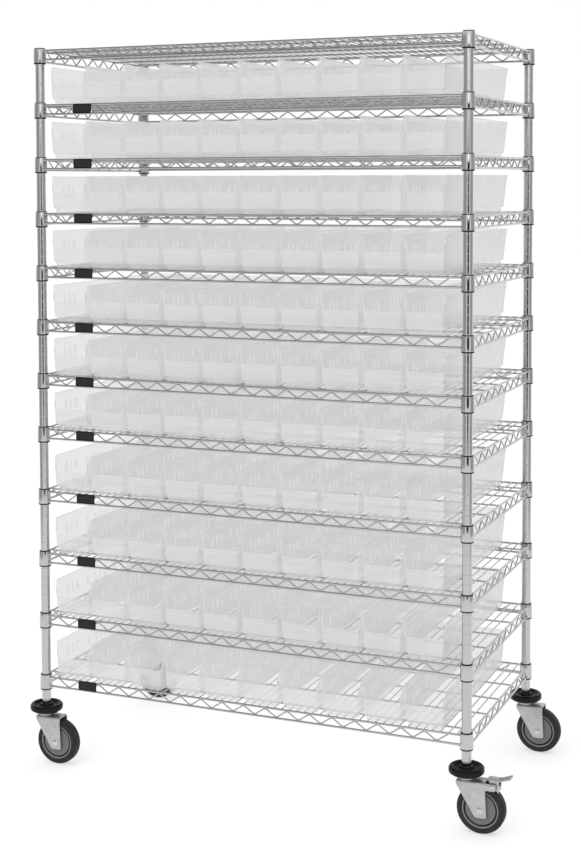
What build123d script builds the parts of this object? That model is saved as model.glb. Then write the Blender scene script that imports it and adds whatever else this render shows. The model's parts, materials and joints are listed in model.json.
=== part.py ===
"""Mobile wire shelving unit with twelve shelves, clear hopper bins and four swivel casters.

Frame: the origin is on the floor, midway between the four posts. X runs to the right along the
front, Y runs to the back and Z runs up. All sizes are in millimetres.
"""
from build123d import *

import math
import os

# Posts
post_spacing_x = 1245.0
post_spacing_y = 609.6
post_diameter = 25.4
post_wall = 1.6
cap_plug_length = 18.0
cap_rim_height = 3.0
cap_dome_height = 5.0

# Shelf heights, from the floor to the lower end of the sleeves
first_shelf_height = 209.0
lower_bay_pitch = 177.8
lower_bay_count = 4
upper_bay_pitch = 152.4
upper_bay_count = 7

# Split sleeves and shelf collars
fit_clearance = 0.2
sleeve_wall = 2.1
sleeve_height = 45.0
collar_wall = 1.8
collar_height = 39.5
collar_rise = 3.5
collar_sides = 8

# Shelf wires
rail_wire = 6.0
rail_offset = 6.0
deck_height = 40.0
front_lower_rail_rise = 12.0
side_lower_rail_rise = 8.5
long_wire = 5.0
long_wire_pitch = 127.0
deck_wire = 3.5
deck_wire_pitch = 22.2
truss_wire = 4.0
truss_pitch = 64.0
truss_margin = 56.0

# Name plates
plate_width = 57.0
plate_height = 26.0
plate_thickness = 2.0
plate_from_post = 140.0
plate_drop = 1.0

# Bins
bin_length = 600.0
bin_height = 101.6
bin_top_width = 110.0
bin_side_draft = 4.5
bin_wall = 2.0
bin_step_height = 13.0
bin_step_inset = 4.5
bin_step_setback = 3.0
bin_lip_height = 45.0
bin_lip_lean = 4.0
bin_slope_run = 10.0
bin_rear_lean = 25.0
bin_gap = 5.7
bin_overhang = 5.0
bin_row_shift = -8.0
slide_clearance = 0.2

# Casters
wheel_diameter = 127.0
tyre_width = 32.0
tyre_chamfer = 6.0
core_diameter = 96.0
core_width = 28.0
hub_diameter = 30.0
hub_width = 35.0
axle_diameter = 10.0
axle_head_width = 16.0
axle_head_height = 5.0
caster_trail = 40.0
fork_plate = 3.0
fork_gap = 38.0
fork_crown = 4.0
fork_front_reach = 22.0
fork_rear_reach = 54.0
fork_foot_front = 12.0
fork_foot_rear = 18.0
fork_foot_drop = 18.5
fork_shoulder_drop = 11.0
fork_wheel_gap = 6.0
swivel_clearance = 0.3
kingpin_diameter = 16.0
kingpin_flange_diameter = 24.0
kingpin_flange_height = 3.5
swivel_disc_diameter = 52.0
swivel_disc_height = 8.7
stem_length = 70.0
bumper_diameter = 92.0
bumper_height = 22.0
bumper_base = 4.0
bumper_hub_wall = 4.3
bumper_ring_width = 10.0
bumper_dish_depth = 7.0
bumper_edge = 4.0

# Brake pedals
brake_flange_reach = 82.0
brake_flange_height = 19.0
pedal_width = 28.0
pedal_plate = 3.5
pedal_pivot_reach = 72.0
pedal_pivot_drop = 8.0
pedal_pin_diameter = 6.0
pedal_tip_reach = 119.0
pedal_tip_rise = 9.0
pedal_lift = 4.5
pedal_heel_reach = 58.0
shoe_reach = 88.0
shoe_gap = 4.8
shoe_length = 8.0

# Sizes that follow from the ones above
post_radius = post_diameter / 2
post_bore_radius = post_radius - post_wall
sleeve_inner = post_radius + fit_clearance
sleeve_outer = sleeve_inner + sleeve_wall
collar_inner = sleeve_outer + fit_clearance
collar_outer = collar_inner + collar_wall
half_x = post_spacing_x / 2
half_y = post_spacing_y / 2
upper_rail_rise = deck_height - rail_wire / 2
long_wire_count = 2 * int((half_y - collar_outer - long_wire / 2) / long_wire_pitch) + 1
wheel_radius = wheel_diameter / 2
axle_radius = axle_diameter / 2
crown_bottom = wheel_diameter + fork_wheel_gap
crown_top = crown_bottom + fork_crown
disc_bottom = crown_top + swivel_clearance
disc_top = disc_bottom + swivel_disc_height
post_bottom = disc_top + bumper_base
fork_half_width = fork_gap / 2 + fork_plate
bin_pitch = bin_top_width + bin_gap
bins_per_shelf = int((post_spacing_x - 2 * collar_outer) / bin_pitch)
pivot_height = crown_top - pedal_pivot_drop

# A corner's name, with its sign along X and along Y
CORNERS = {
    "front_left": (-1, -1),
    "front_right": (1, -1),
    "rear_left": (-1, 1),
    "rear_right": (1, 1),
}
BRAKED_CORNERS = ("front_right", "rear_left")


def shelf_heights():
    """Heights of the sleeves' lower ends, from the lowest shelf to the top one."""
    heights = [first_shelf_height]
    for pitch, count in ((lower_bay_pitch, lower_bay_count), (upper_bay_pitch, upper_bay_count)):
        for _ in range(count):
            heights.append(heights[-1] + pitch)
    return heights


def corner_place(name, height=0.0):
    """Location on a post's axis at a height."""
    sign_x, sign_y = CORNERS[name]
    return Location((sign_x * half_x, sign_y * half_y, height))


def at_corners(solid, height=0.0):
    """Copies of a solid on all four post axes."""
    return [solid.moved(corner_place(name, height)) for name in CORNERS]


def span_box(low, high):
    """Box between two opposite corners."""
    size = [b - a for a, b in zip(low, high)]
    middle = [(a + b) / 2 for a, b in zip(low, high)]
    return Pos(*middle) * Box(*size)


def turned(profile_points):
    """Solid of revolution about Z from points of (radius, height)."""
    face = Plane.XZ * make_face(Polyline(*profile_points, close=True))
    return revolve(face, Axis.Z)


def cut_across_y(profile_points, half_width):
    """Plate of an outline of (x, z) points, from -half_width to half_width along Y."""
    face = Plane.XZ * make_face(Polyline(*profile_points, close=True))
    return extrude(face, amount=half_width, both=True)


def octagon_tube(inner, outer, height):
    """Tube whose flats face X and Y, with its lower end at z = 0."""
    turn = 180 / collar_sides
    ring = RegularPolygon(outer, collar_sides, major_radius=False, rotation=turn)
    ring -= RegularPolygon(inner, collar_sides, major_radius=False, rotation=turn)
    return extrude(ring, amount=height)


def make_post(bottom, top):
    """Post tube between two heights."""
    ring = Circle(post_radius) - Circle(post_bore_radius)
    return Pos(0, 0, bottom) * extrude(ring, amount=top - bottom)


def make_cap():
    """Domed cap whose rim rests on a post's end at z = 0."""
    plug_radius = post_bore_radius - fit_clearance
    dome_top = cap_rim_height + cap_dome_height
    outline = Polyline(
        (0, dome_top), (0, -cap_plug_length), (plug_radius, -cap_plug_length), (plug_radius, 0),
        (post_radius, 0), (post_radius, cap_rim_height),
    )
    dome_radius = (post_radius ** 2 + cap_dome_height ** 2) / (2 * cap_dome_height)
    half_turn = math.asin(post_radius / dome_radius) / 2
    crown = (dome_radius * math.sin(half_turn), dome_top - dome_radius * (1 - math.cos(half_turn)))
    dome = ThreePointArc((post_radius, cap_rim_height), crown, (0, dome_top))
    return revolve(Plane.XZ * make_face([*outline.edges(), dome.edge()]), Axis.Z)


def make_sleeve_halves():
    """Two halves of a split sleeve, with their lower ends at z = 0."""
    sleeve = octagon_tube(sleeve_inner, sleeve_outer, sleeve_height)
    return split(sleeve, bisect_by=Plane.YZ, keep=Keep.BOTH).solids()


def zigzag_points(span):
    """Outline of a zigzag wire, centred, in (along, height) with its foot at height 0."""
    rise = truss_rise()
    count = int((span - 2 * truss_margin) / truss_pitch) + 1
    half_pitch = truss_pitch / 2
    thickness = truss_wire / math.cos(math.atan2(rise, half_pitch))
    start = -count * half_pitch
    lower = []
    for index in range(2 * count + 1):
        peak = 1 - index % 2
        lower.append((start + index * half_pitch, peak * (rise - thickness)))
    upper = [(along, height + thickness) for along, height in reversed(lower)]
    return lower + upper


def truss_rise():
    """Clear height between the lower and upper rails of the front truss."""
    return upper_rail_rise - front_lower_rail_rise - rail_wire


def make_truss(span, lower_rise):
    """Two rails and a zigzag between them along X, with the sleeve's lower end at z = 0."""
    half = span / 2 - collar_outer
    wire = rail_wire / 2
    rails = []
    for rise in (lower_rise, upper_rail_rise):
        rails.append(span_box((-half, -wire, rise - wire), (half, wire, rise + wire)))
    zigzag = cut_across_y(zigzag_points(span), truss_wire / 2)
    foot = upper_rail_rise - wire - truss_rise()
    return [*rails, Pos(0, 0, foot) * zigzag]


def make_deck():
    """Wires that run front to back, flush with the rails, on the long wires under them."""
    rail_inside_y = half_y + rail_offset - rail_wire / 2
    rail_inside_x = half_x + rail_offset - rail_wire / 2
    deck_bottom = deck_height - deck_wire
    wires = []
    side_count = int((half_x - collar_outer - deck_wire / 2) / deck_wire_pitch)
    for index in range(-side_count, side_count + 1):
        x = index * deck_wire_pitch
        wires.append(span_box(
            (x - deck_wire / 2, -rail_inside_y, deck_bottom),
            (x + deck_wire / 2, rail_inside_y, deck_height),
        ))
    for index in range(long_wire_count):
        y = (index - (long_wire_count - 1) / 2) * long_wire_pitch
        wires.append(span_box(
            (-rail_inside_x, y - long_wire / 2, deck_bottom - long_wire),
            (rail_inside_x, y + long_wire / 2, deck_bottom),
        ))
    return wires


def make_shelf():
    """All wires and collars of one welded shelf, with the sleeves' lower ends at z = 0."""
    solids = make_deck()
    for sign in (-1, 1):
        for piece in make_truss(post_spacing_x, front_lower_rail_rise):
            solids.append(Pos(0, sign * (half_y + rail_offset), 0) * piece)
        for piece in make_truss(post_spacing_y, side_lower_rail_rise):
            solids.append(Pos(sign * (half_x + rail_offset), 0, 0) * Rot(0, 0, 90) * piece)
    collar = octagon_tube(collar_inner, collar_outer, collar_height)
    return solids + at_corners(collar, collar_rise)


def make_plate():
    """Name plate on the front face of the front rails, with the sleeves' lower ends at z = 0."""
    x = plate_from_post - half_x
    top = deck_height - plate_drop
    rail_face = -(half_y + rail_offset + rail_wire / 2)
    return span_box(
        (x - plate_width / 2, rail_face - plate_thickness, top - plate_height),
        (x + plate_width / 2, rail_face, top),
    )


def bin_half_width(height, inset):
    """Half of a bin's width at a height, less an inset."""
    return bin_top_width / 2 - bin_side_draft * (1 - height / bin_height) - inset


def bin_front(height):
    """How far the plane of a bin's lip lies behind the lip's top edge."""
    return bin_lip_lean * (1 - height / bin_lip_height)


def bin_rear(height):
    """Distance of a bin's rear face behind the lip's top edge."""
    return bin_length - bin_rear_lean * (1 - height / bin_height)


def drafted_block(profile_points, inset):
    """Block of a side outline of (y, z) points whose sides lean out like a bin's walls."""
    face = Plane.YZ * make_face(Polyline(*profile_points, close=True))
    block = extrude(face, amount=bin_top_width, both=True)
    lean = math.atan2(bin_side_draft, bin_height)
    for sign in (-1, 1):
        outward = (sign * math.cos(lean), 0, -math.sin(lean))
        side = Plane((sign * bin_half_width(0, inset), 0, 0), x_dir=(0, 1, 0), z_dir=outward)
        block = split(block, bisect_by=side, keep=Keep.BOTTOM)
    return block


def bin_core(low, high, front_inset, inset):
    """Block between two heights that follows a bin's four walls at an inset."""
    return drafted_block([
        (bin_front(low) + front_inset, low), (bin_front(high) + front_inset, high),
        (bin_rear(high) - inset, high), (bin_rear(low) - inset, low),
    ], inset)


def make_bin():
    """Open bin on a stepped-in base, with the base at z = 0 and the lip's top edge at y = 0."""
    ledge = bin_step_height + bin_wall
    above = 2 * bin_height
    foot_front = bin_step_setback + bin_wall
    foot_inset = bin_step_inset + bin_wall
    body = drafted_block([
        (bin_front(bin_step_height), bin_step_height), (0, bin_lip_height),
        (bin_slope_run, bin_height), (bin_length, bin_height),
        (bin_rear(bin_step_height), bin_step_height),
    ], 0)
    body += bin_core(0, bin_step_height, bin_step_setback, bin_step_inset)
    body -= bin_core(ledge, above, bin_wall, bin_wall)
    return body - bin_core(bin_wall, ledge, foot_front, foot_inset)


def bin_row(shelf_height):
    """Bins side by side on one shelf, from left to right, with their lips over the front rail."""
    body = make_bin()
    front = -(half_y + rail_offset + bin_overhang)
    height = shelf_height + deck_height + slide_clearance
    row = []
    for index in range(bins_per_shelf):
        x = (index - (bins_per_shelf - 1) / 2) * bin_pitch + bin_row_shift
        row.append(body.moved(Location((x, front, height))))
    return row


def make_stem():
    """Kingpin, swivel disc and stem of a caster, on its swivel axis."""
    flange_top = crown_bottom - swivel_clearance
    flange_bottom = flange_top - kingpin_flange_height
    stem_radius = post_bore_radius - fit_clearance
    return turned([
        (0, flange_bottom), (kingpin_flange_diameter / 2, flange_bottom),
        (kingpin_flange_diameter / 2, flange_top), (kingpin_diameter / 2, flange_top),
        (kingpin_diameter / 2, disc_bottom), (swivel_disc_diameter / 2, disc_bottom),
        (swivel_disc_diameter / 2, disc_top), (stem_radius, disc_top),
        (stem_radius, disc_top + stem_length), (0, disc_top + stem_length),
    ])


def make_bumper():
    """Dished round bumper between the swivel disc and the post's end."""
    stem_hole = post_bore_radius
    socket = post_radius + fit_clearance
    hub = socket + bumper_hub_wall
    outer = bumper_diameter / 2
    dish = outer - bumper_ring_width
    top = disc_top + bumper_height
    floor = top - bumper_dish_depth
    return turned([
        (stem_hole, disc_top), (outer - 2 * bumper_edge, disc_top),
        (outer, disc_top + bumper_edge), (outer, top - bumper_edge),
        (outer - bumper_edge, top), (dish, top), (dish - bumper_edge, floor), (hub, floor),
        (hub, top), (socket, top), (socket, post_bottom), (stem_hole, post_bottom),
    ])


def fork_outline(braked):
    """Side outline of a fork in (x, z), with the swivel axis at x = 0."""
    foot = wheel_radius - fork_foot_drop
    rear_foot = caster_trail + fork_foot_rear
    front_foot = caster_trail - fork_foot_front
    shoulder = crown_top - fork_shoulder_drop
    rear_edge = [(fork_rear_reach, crown_top)]
    if braked:
        flange_bottom = crown_top - brake_flange_height
        rear_edge = [
            (brake_flange_reach, crown_top), (brake_flange_reach, flange_bottom),
            (fork_rear_reach, flange_bottom),
        ]
    return [
        (-fork_front_reach, crown_top), *rear_edge, (rear_foot, foot + fork_plate),
        (rear_foot - fork_plate, foot), (front_foot + fork_plate, foot),
        (front_foot, foot + fork_plate), (-fork_front_reach, shoulder),
    ]


def cross_hole(x, z, radius):
    """Cutter along Y through a whole fork."""
    return Pos(x, 0, z) * Rot(90, 0, 0) * Cylinder(radius, 4 * fork_half_width)


def make_fork(braked):
    """Pressed fork with its crown under the swivel disc."""
    reach = 2 * wheel_diameter
    fork = cut_across_y(fork_outline(braked), fork_half_width)
    fork -= span_box((-reach, -fork_gap / 2, 0), (reach, fork_gap / 2, crown_bottom))
    fork -= span_box((fork_rear_reach, -fork_gap / 2, 0), (reach, fork_gap / 2, 2 * crown_top))
    fork -= Pos(0, 0, crown_top) * Cylinder(kingpin_diameter / 2 + swivel_clearance, 4 * fork_crown)
    fork -= cross_hole(caster_trail, wheel_radius, axle_radius + fit_clearance)
    if braked:
        fork -= cross_hole(pedal_pivot_reach, pivot_height, pedal_pin_diameter / 2 + fit_clearance)
    return fork


def bolt_across(diameter, head_width):
    """Pin along Y across a fork, with a six-sided head against each outer face."""
    bolt = Cylinder(diameter / 2, 2 * fork_half_width)
    head = extrude(RegularPolygon(head_width / 2, 6, major_radius=False), amount=axle_head_height)
    bolt += Pos(0, 0, fork_half_width) * head
    bolt += Pos(0, 0, -fork_half_width - axle_head_height) * head
    return Rot(90, 0, 0) * bolt


def make_axle_pins(braked):
    """Axle bolt of a caster, with the pedal's pin on a braked one."""
    pins = [Pos(caster_trail, 0, wheel_radius) * bolt_across(axle_diameter, axle_head_width)]
    if braked:
        pin = bolt_across(pedal_pin_diameter, axle_diameter)
        pins.append(Pos(pedal_pivot_reach, 0, pivot_height) * pin)
    return pins


def on_axle(solid):
    """A solid of revolution about Z, laid on the axle's line."""
    return Pos(caster_trail, 0, wheel_radius) * Rot(90, 0, 0) * solid


def make_core():
    """Wheel core with a hub that reaches past its rim."""
    bore = axle_radius + fit_clearance
    rim = core_diameter / 2 - fit_clearance
    return on_axle(turned([
        (bore, -hub_width / 2), (hub_diameter / 2, -hub_width / 2),
        (hub_diameter / 2, -core_width / 2), (rim, -core_width / 2),
        (rim, core_width / 2), (hub_diameter / 2, core_width / 2),
        (hub_diameter / 2, hub_width / 2), (bore, hub_width / 2),
    ]))


def make_tyre():
    """Tyre with bevelled shoulders on the wheel core."""
    half = tyre_width / 2
    bore = core_diameter / 2
    return on_axle(turned([
        (bore, -half), (wheel_radius - tyre_chamfer, -half), (wheel_radius, tyre_chamfer - half),
        (wheel_radius, half - tyre_chamfer), (wheel_radius - tyre_chamfer, half), (bore, half),
    ]))


def shoe_point(reach, gap):
    """Point at a reach behind the swivel axis and a gap off the tread."""
    along = reach - caster_trail
    radius = wheel_radius + gap
    return (reach, wheel_radius + math.sqrt(radius * radius - along * along))


def make_pedal():
    """Brake pedal with its shoe behind the wheel, in the released position."""
    plate_bottom = crown_top + pedal_lift
    plate_top = plate_bottom + pedal_plate
    hub_front = pedal_pivot_reach - 2 * pedal_pin_diameter + pedal_plate
    hub_bottom = pivot_height - pedal_pin_diameter / 2 - fit_clearance
    outline = [
        (pedal_heel_reach, plate_bottom), (hub_front, plate_bottom), (hub_front, hub_bottom),
        shoe_point(shoe_reach - shoe_length, shoe_gap), shoe_point(shoe_reach, shoe_gap),
        (shoe_reach, plate_bottom), (pedal_tip_reach, plate_bottom + pedal_tip_rise),
        (pedal_tip_reach, plate_top + pedal_tip_rise), (shoe_reach, plate_top),
        (pedal_heel_reach, plate_top),
    ]
    pedal = cut_across_y(outline, pedal_width / 2)
    return pedal - cross_hole(pedal_pivot_reach, pivot_height, pedal_pin_diameter / 2 + fit_clearance)


def build_frame(heights):
    """Nodes of the posts, shelves and what is fixed to them."""
    post_top = heights[-1] + sleeve_height - cap_dome_height - cap_rim_height
    nodes = {}
    for name in CORNERS:
        nodes["post_" + name] = [make_post(post_bottom, post_top).moved(corner_place(name))]
    nodes["post_caps"] = at_corners(make_cap(), post_top)
    shelf = make_shelf()
    halves = make_sleeve_halves()
    plate = make_plate()
    nodes["split_sleeves"] = []
    nodes["name_plates"] = []
    for number, height in enumerate(heights, start=1):
        lift = Location((0, 0, height))
        nodes[f"shelf_{number:02d}"] = [solid.moved(lift) for solid in shelf]
        for half in halves:
            nodes["split_sleeves"] += at_corners(half, height)
        if height < heights[-1]:
            nodes["name_plates"].append(plate.moved(lift))
    return nodes


def build_bins(heights):
    """Nodes of the bins: one each on the lowest shelf, and one for each row above it."""
    nodes = {}
    for number, solid in enumerate(bin_row(heights[0]), start=1):
        nodes[f"bin_{number:02d}"] = [solid]
    for number, height in enumerate(heights[1:-1], start=2):
        nodes[f"bin_row_{number:02d}"] = bin_row(height)
    return nodes


def build_casters():
    """Nodes of the four casters, which all trail to the right at rest."""
    nodes = {
        "caster_stems": at_corners(make_stem()),
        "caster_bumpers": at_corners(make_bumper()),
    }
    for name in CORNERS:
        place = corner_place(name)
        braked = name in BRAKED_CORNERS
        nodes["fork_" + name] = [make_fork(braked).moved(place)]
        nodes["axle_" + name] = [pin.moved(place) for pin in make_axle_pins(braked)]
        nodes["wheel_core_" + name] = [make_core().moved(place)]
        nodes["tyre_" + name] = [make_tyre().moved(place)]
        if braked:
            nodes["brake_pedal_" + name] = [make_pedal().moved(place)]
    return nodes


def main():
    """Build every node and write it to its own file."""
    os.makedirs("parts", exist_ok=True)
    heights = shelf_heights()
    nodes = {**build_frame(heights), **build_bins(heights), **build_casters()}
    for name, shapes in nodes.items():
        solids = [solid for shape in shapes for solid in shape.solids()]
        export_step(Compound(label=name, children=solids), f"parts/{name}.step")


main()
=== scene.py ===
"""Dressed model of a mobile wire bin shelving unit.

Chromed wire shelves on grooved posts, rows of clear hopper bins and four swivel casters, built in
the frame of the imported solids. Shapes are drawn in millimetres and become metres in their meshes.
"""

import json
import logging
import math
from dataclasses import dataclass, field
from enum import Enum
from typing import Sequence

import bmesh
import bpy
from mathutils import Matrix, Vector

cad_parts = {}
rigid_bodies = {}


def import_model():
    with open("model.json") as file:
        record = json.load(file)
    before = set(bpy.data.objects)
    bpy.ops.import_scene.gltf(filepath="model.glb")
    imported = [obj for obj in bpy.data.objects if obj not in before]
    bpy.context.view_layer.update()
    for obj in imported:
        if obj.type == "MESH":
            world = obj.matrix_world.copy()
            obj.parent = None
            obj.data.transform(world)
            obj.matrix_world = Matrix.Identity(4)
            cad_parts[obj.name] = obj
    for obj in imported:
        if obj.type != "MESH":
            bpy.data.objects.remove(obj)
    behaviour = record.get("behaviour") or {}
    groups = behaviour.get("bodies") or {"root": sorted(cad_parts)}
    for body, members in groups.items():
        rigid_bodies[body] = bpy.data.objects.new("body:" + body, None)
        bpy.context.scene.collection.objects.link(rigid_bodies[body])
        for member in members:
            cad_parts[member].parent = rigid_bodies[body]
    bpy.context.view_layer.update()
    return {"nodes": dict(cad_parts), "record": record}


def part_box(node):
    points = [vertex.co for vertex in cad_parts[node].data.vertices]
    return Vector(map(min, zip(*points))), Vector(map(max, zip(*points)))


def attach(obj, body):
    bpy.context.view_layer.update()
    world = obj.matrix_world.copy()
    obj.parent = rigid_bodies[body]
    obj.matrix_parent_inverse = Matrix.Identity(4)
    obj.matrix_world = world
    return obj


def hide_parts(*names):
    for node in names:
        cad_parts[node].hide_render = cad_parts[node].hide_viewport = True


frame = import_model()

LOG = logging.getLogger("shelving")
MM = 0.001

# Two numbers, such as a point of an outline, and three, such as one with its corner's radius
Pair = tuple[float, float]
Triple = tuple[float, float, float]

# Radius in millimetres at which a turned outline stops short of its axis
AXIS = 0.05
# Points closer than this, in metres, become one
WELD = 1e-6
# Corners that turn less than this, in radians, aren't rounded
LEAST_TURN = 0.01
# Share of an edge that the arc at one end of it may take
EDGE_SHARE = 0.49
# Angle in degrees from which an edge stays sharp, and the same for bins and for round stock
CREASE = 35.0
BIN_CREASE = 40.0
ROUND_CREASE = 50.0
# Angle in degrees from which an edge of a pressed piece is eased, and the flats across that edge
EASE_ANGLE = 50.0
EASE_FLATS = 2

# Noise of every finish: octaves and roughness of its patches, the part of their range that changes
# the shine, octaves of its grain and strength of the bump
MOTTLE_DETAIL = 3.0
MOTTLE_ROUGHNESS = 0.6
MOTTLE_RANGE = (0.3, 0.7)
GRAIN_DETAIL = 2.0
GRAIN_STRENGTH = 0.6


class Corner(Enum):
    """Corner of the unit, as the nodes write it."""

    FRONT_LEFT = "front_left"
    FRONT_RIGHT = "front_right"
    REAR_LEFT = "rear_left"
    REAR_RIGHT = "rear_right"

    @property
    def braked(self) -> bool:
        """Whether the caster at this corner has a brake pedal."""
        return f"brake_pedal_{self.value}" in frame["nodes"]


class Side(Enum):
    """Side of the unit that a truss closes, with its turn about Z in degrees."""

    FRONT = 0
    RIGHT = 90
    REAR = 180
    LEFT = 270


def to_linear(colour: str) -> tuple[float, float, float, float]:
    """Turn an sRGB hex colour into linear light.

    Args:
        colour: six hex digits, red first.

    Returns:
        Red, green, blue and a full alpha.
    """
    shares = [int(colour[i:i + 2], 16) / 255 for i in (0, 2, 4)]
    linear = [s / 12.92 if s <= 0.04045 else ((s + 0.055) / 1.055) ** 2.4 for s in shares]
    return (*linear, 1.0)


def add_node(
    tree: bpy.types.NodeTree, kind: str, settings: dict | None = None, inputs: dict | None = None
) -> bpy.types.Node:
    """Add a node with its settings, its constant inputs and its links.

    Args:
        tree: node tree that gets the node.
        kind: type name of the node.
        settings: attributes to set on it.
        inputs: values or output sockets by input name or number.

    Returns:
        The new node.
    """
    node = tree.nodes.new(kind)
    for key, value in (settings or {}).items():
        setattr(node, key, value)
    for key, value in (inputs or {}).items():
        if isinstance(value, bpy.types.NodeSocket):
            tree.links.new(value, node.inputs[key])
        else:
            node.inputs[key].default_value = value
    return node


def bare_material(title: str) -> bpy.types.Material:
    """Make a material with an empty node tree.

    Args:
        title: name of the material.

    Returns:
        The new material.
    """
    made = bpy.data.materials.new(title)
    made.use_nodes = True
    made.node_tree.nodes.clear()
    return made


def per_metre(millimetres: float) -> float:
    """Texture scale that repeats a pattern about every so many millimetres."""
    return 1 / (millimetres * MM)


@dataclass(frozen=True)
class Finish:
    """A surface as it was made: its name, the record's slot, two near colours and its shine."""

    title: str
    slot: str
    colour: str
    shade: str
    roughness: float
    roughness_spread: float
    mottle_mm: float
    grain_mm: float
    grain_height_mm: float
    metallic: float = 0.0
    grain_stretch: Triple = (1.0, 1.0, 1.0)
    alpha: float = 1.0
    ior: float = 1.5
    specular: float = 0.5

    def material(self) -> bpy.types.Material:
        """Build the material once and give it back on later calls.

        Returns:
            The material of this finish.
        """
        known = bpy.data.materials.get(self.title)
        if known:
            return known
        made = bare_material(self.title)
        tree = made.node_tree
        place = add_node(tree, "ShaderNodeTexCoord").outputs["Object"]
        mottle = add_node(tree, "ShaderNodeTexNoise", inputs={
            "Vector": place, "Scale": per_metre(self.mottle_mm), "Detail": MOTTLE_DETAIL,
            "Roughness": MOTTLE_ROUGHNESS,
        }).outputs["Fac"]
        # Inputs 6 and 7 and output 2 are the mix node's colours
        colour = add_node(tree, "ShaderNodeMix", {"data_type": "RGBA"}, {
            "Factor": mottle, 6: to_linear(self.colour), 7: to_linear(self.shade),
        }).outputs[2]
        shine = add_node(tree, "ShaderNodeMapRange", inputs={
            "Value": mottle, "From Min": MOTTLE_RANGE[0], "From Max": MOTTLE_RANGE[1],
            "To Min": self.roughness - self.roughness_spread,
            "To Max": self.roughness + self.roughness_spread,
        }).outputs["Result"]
        stretched = add_node(tree, "ShaderNodeMapping", {"vector_type": "POINT"}, {
            "Vector": place, "Scale": self.grain_stretch,
        }).outputs["Vector"]
        grain = add_node(tree, "ShaderNodeTexNoise", inputs={
            "Vector": stretched, "Scale": per_metre(self.grain_mm), "Detail": GRAIN_DETAIL,
        }).outputs["Fac"]
        bump = add_node(tree, "ShaderNodeBump", inputs={
            "Strength": GRAIN_STRENGTH, "Distance": self.grain_height_mm * MM, "Height": grain,
        }).outputs["Normal"]
        shader = add_node(tree, "ShaderNodeBsdfPrincipled", inputs={
            "Base Color": colour, "Roughness": shine, "Normal": bump, "Metallic": self.metallic,
            "Alpha": self.alpha, "IOR": self.ior, "Specular IOR Level": self.specular,
        })
        add_node(tree, "ShaderNodeOutputMaterial", inputs={"Surface": shader.outputs["BSDF"]})
        made.diffuse_color = to_linear(self.colour)
        return made


# Bright chromium over polished steel: a neutral mirror, softened by the plating's ripple.
# The real ripple is about 1 mm wide, too fine to show, so it is drawn at 9 mm
CHROME = Finish(
    "chromium_plated_steel", "chrome_plate", "C5C5C7", "B8B8BA", metallic=1.0,
    roughness=0.16, roughness_spread=0.04, mottle_mm=60.0, grain_mm=9.0, grain_height_mm=0.02)
# Bright zinc over pressed sheet: a paler, duller grey with the cloudy patches of the bath.
# Its crystals are about 0.1 mm wide and are drawn coarser to show
ZINC = Finish(
    "zinc_plated_steel", "zinc_plate", "C9C9C8", "A9A9AA", metallic=0.85,
    roughness=0.36, roughness_spread=0.07, mottle_mm=14.0, grain_mm=1.6, grain_height_mm=0.03)
# Bright zinc on turned bolt heads: smoother and more like a mirror than the pressed sheet round
# them. Its fine turning marks are drawn coarser to show
BRIGHT_BOLT = Finish(
    "bright_zinc_bolt", "zinc_plate", "DEDEDE", "CCCCCD", metallic=1.0,
    roughness=0.2, roughness_spread=0.05, mottle_mm=6.0, grain_mm=1.2, grain_height_mm=0.02)
# Clear moulded polypropylene: milky, see-through walls with faint flow lines along their length.
# The real lines are 1 to 2 mm wide and are drawn at 16 mm to show
CLEAR_BIN = Finish(
    "clear_polypropylene", "clear_plastic", "D3D3D4", "CBCBCC",
    roughness=0.34, roughness_spread=0.06, mottle_mm=45.0, grain_mm=16.0, grain_height_mm=0.12,
    grain_stretch=(1.0, 0.12, 1.0), alpha=0.38, ior=1.49)
# The same plastic in the stepped foot: greyer as painted shade for the shadow under the lip's
# ledge, which the bins don't cast, but clearer, so that the wires under it show through
SHADED_FOOT = Finish(
    "shaded_clear_polypropylene_foot", "clear_plastic", "D0D0D2", "C4C4C6",
    roughness=0.34, roughness_spread=0.06, mottle_mm=45.0, grain_mm=16.0, grain_height_mm=0.08,
    alpha=0.24, ior=1.49)
# Divider ribs: doubled plastic, less see-through, and paler as a painted highlight for the light
# their raised faces catch, so they show as pale streaks in the walls
HIGHLIT_RIB = Finish(
    "highlit_rib_polypropylene", "clear_plastic", "DCDCDD", "D2D2D3",
    roughness=0.3, roughness_spread=0.05, mottle_mm=30.0, grain_mm=16.0, grain_height_mm=0.08,
    alpha=0.42, ior=1.49)
# Black moulded nylon: nearly black, with a spark-eroded grain that breaks up its gloss. The real
# grain is about 0.1 mm wide and is drawn coarser to show
BLACK_NYLON = Finish(
    "black_nylon", "black_plastic", "0C0C0C", "070707",
    roughness=0.42, roughness_spread=0.08, mottle_mm=8.0, grain_mm=1.2, grain_height_mm=0.05,
    specular=0.15)
# Bare field of a name plate: the same nylon, matt and greyer, with its grain drawn deeper
PLATE_FIELD = Finish(
    "matt_black_nylon", "black_plastic", "2C2C2C", "1E1E1E",
    roughness=0.6, roughness_spread=0.08, mottle_mm=6.0, grain_mm=1.2, grain_height_mm=0.08,
    specular=0.2)
# Soft moulded elastomer of the bumpers: a low grey sheen over black, scuffed here and there. The
# pores are about 0.2 mm wide and are drawn coarser to show
BUMPER_RUBBER = Finish(
    "black_elastomer", "bumper_rubber", "101010", "070707",
    roughness=0.42, roughness_spread=0.1, mottle_mm=12.0, grain_mm=2.0, grain_height_mm=0.06,
    specular=0.2)
# Grey moulded polypropylene of the wheel core: an even mid grey with a low sheen. The mould's
# grain is about 0.1 mm wide and is drawn coarser to show
WHEEL_CORE = Finish(
    "grey_polypropylene", "hub_plastic", "6B6B6D", "5E5E60",
    roughness=0.46, roughness_spread=0.06, mottle_mm=10.0, grain_mm=1.4, grain_height_mm=0.04)
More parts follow.
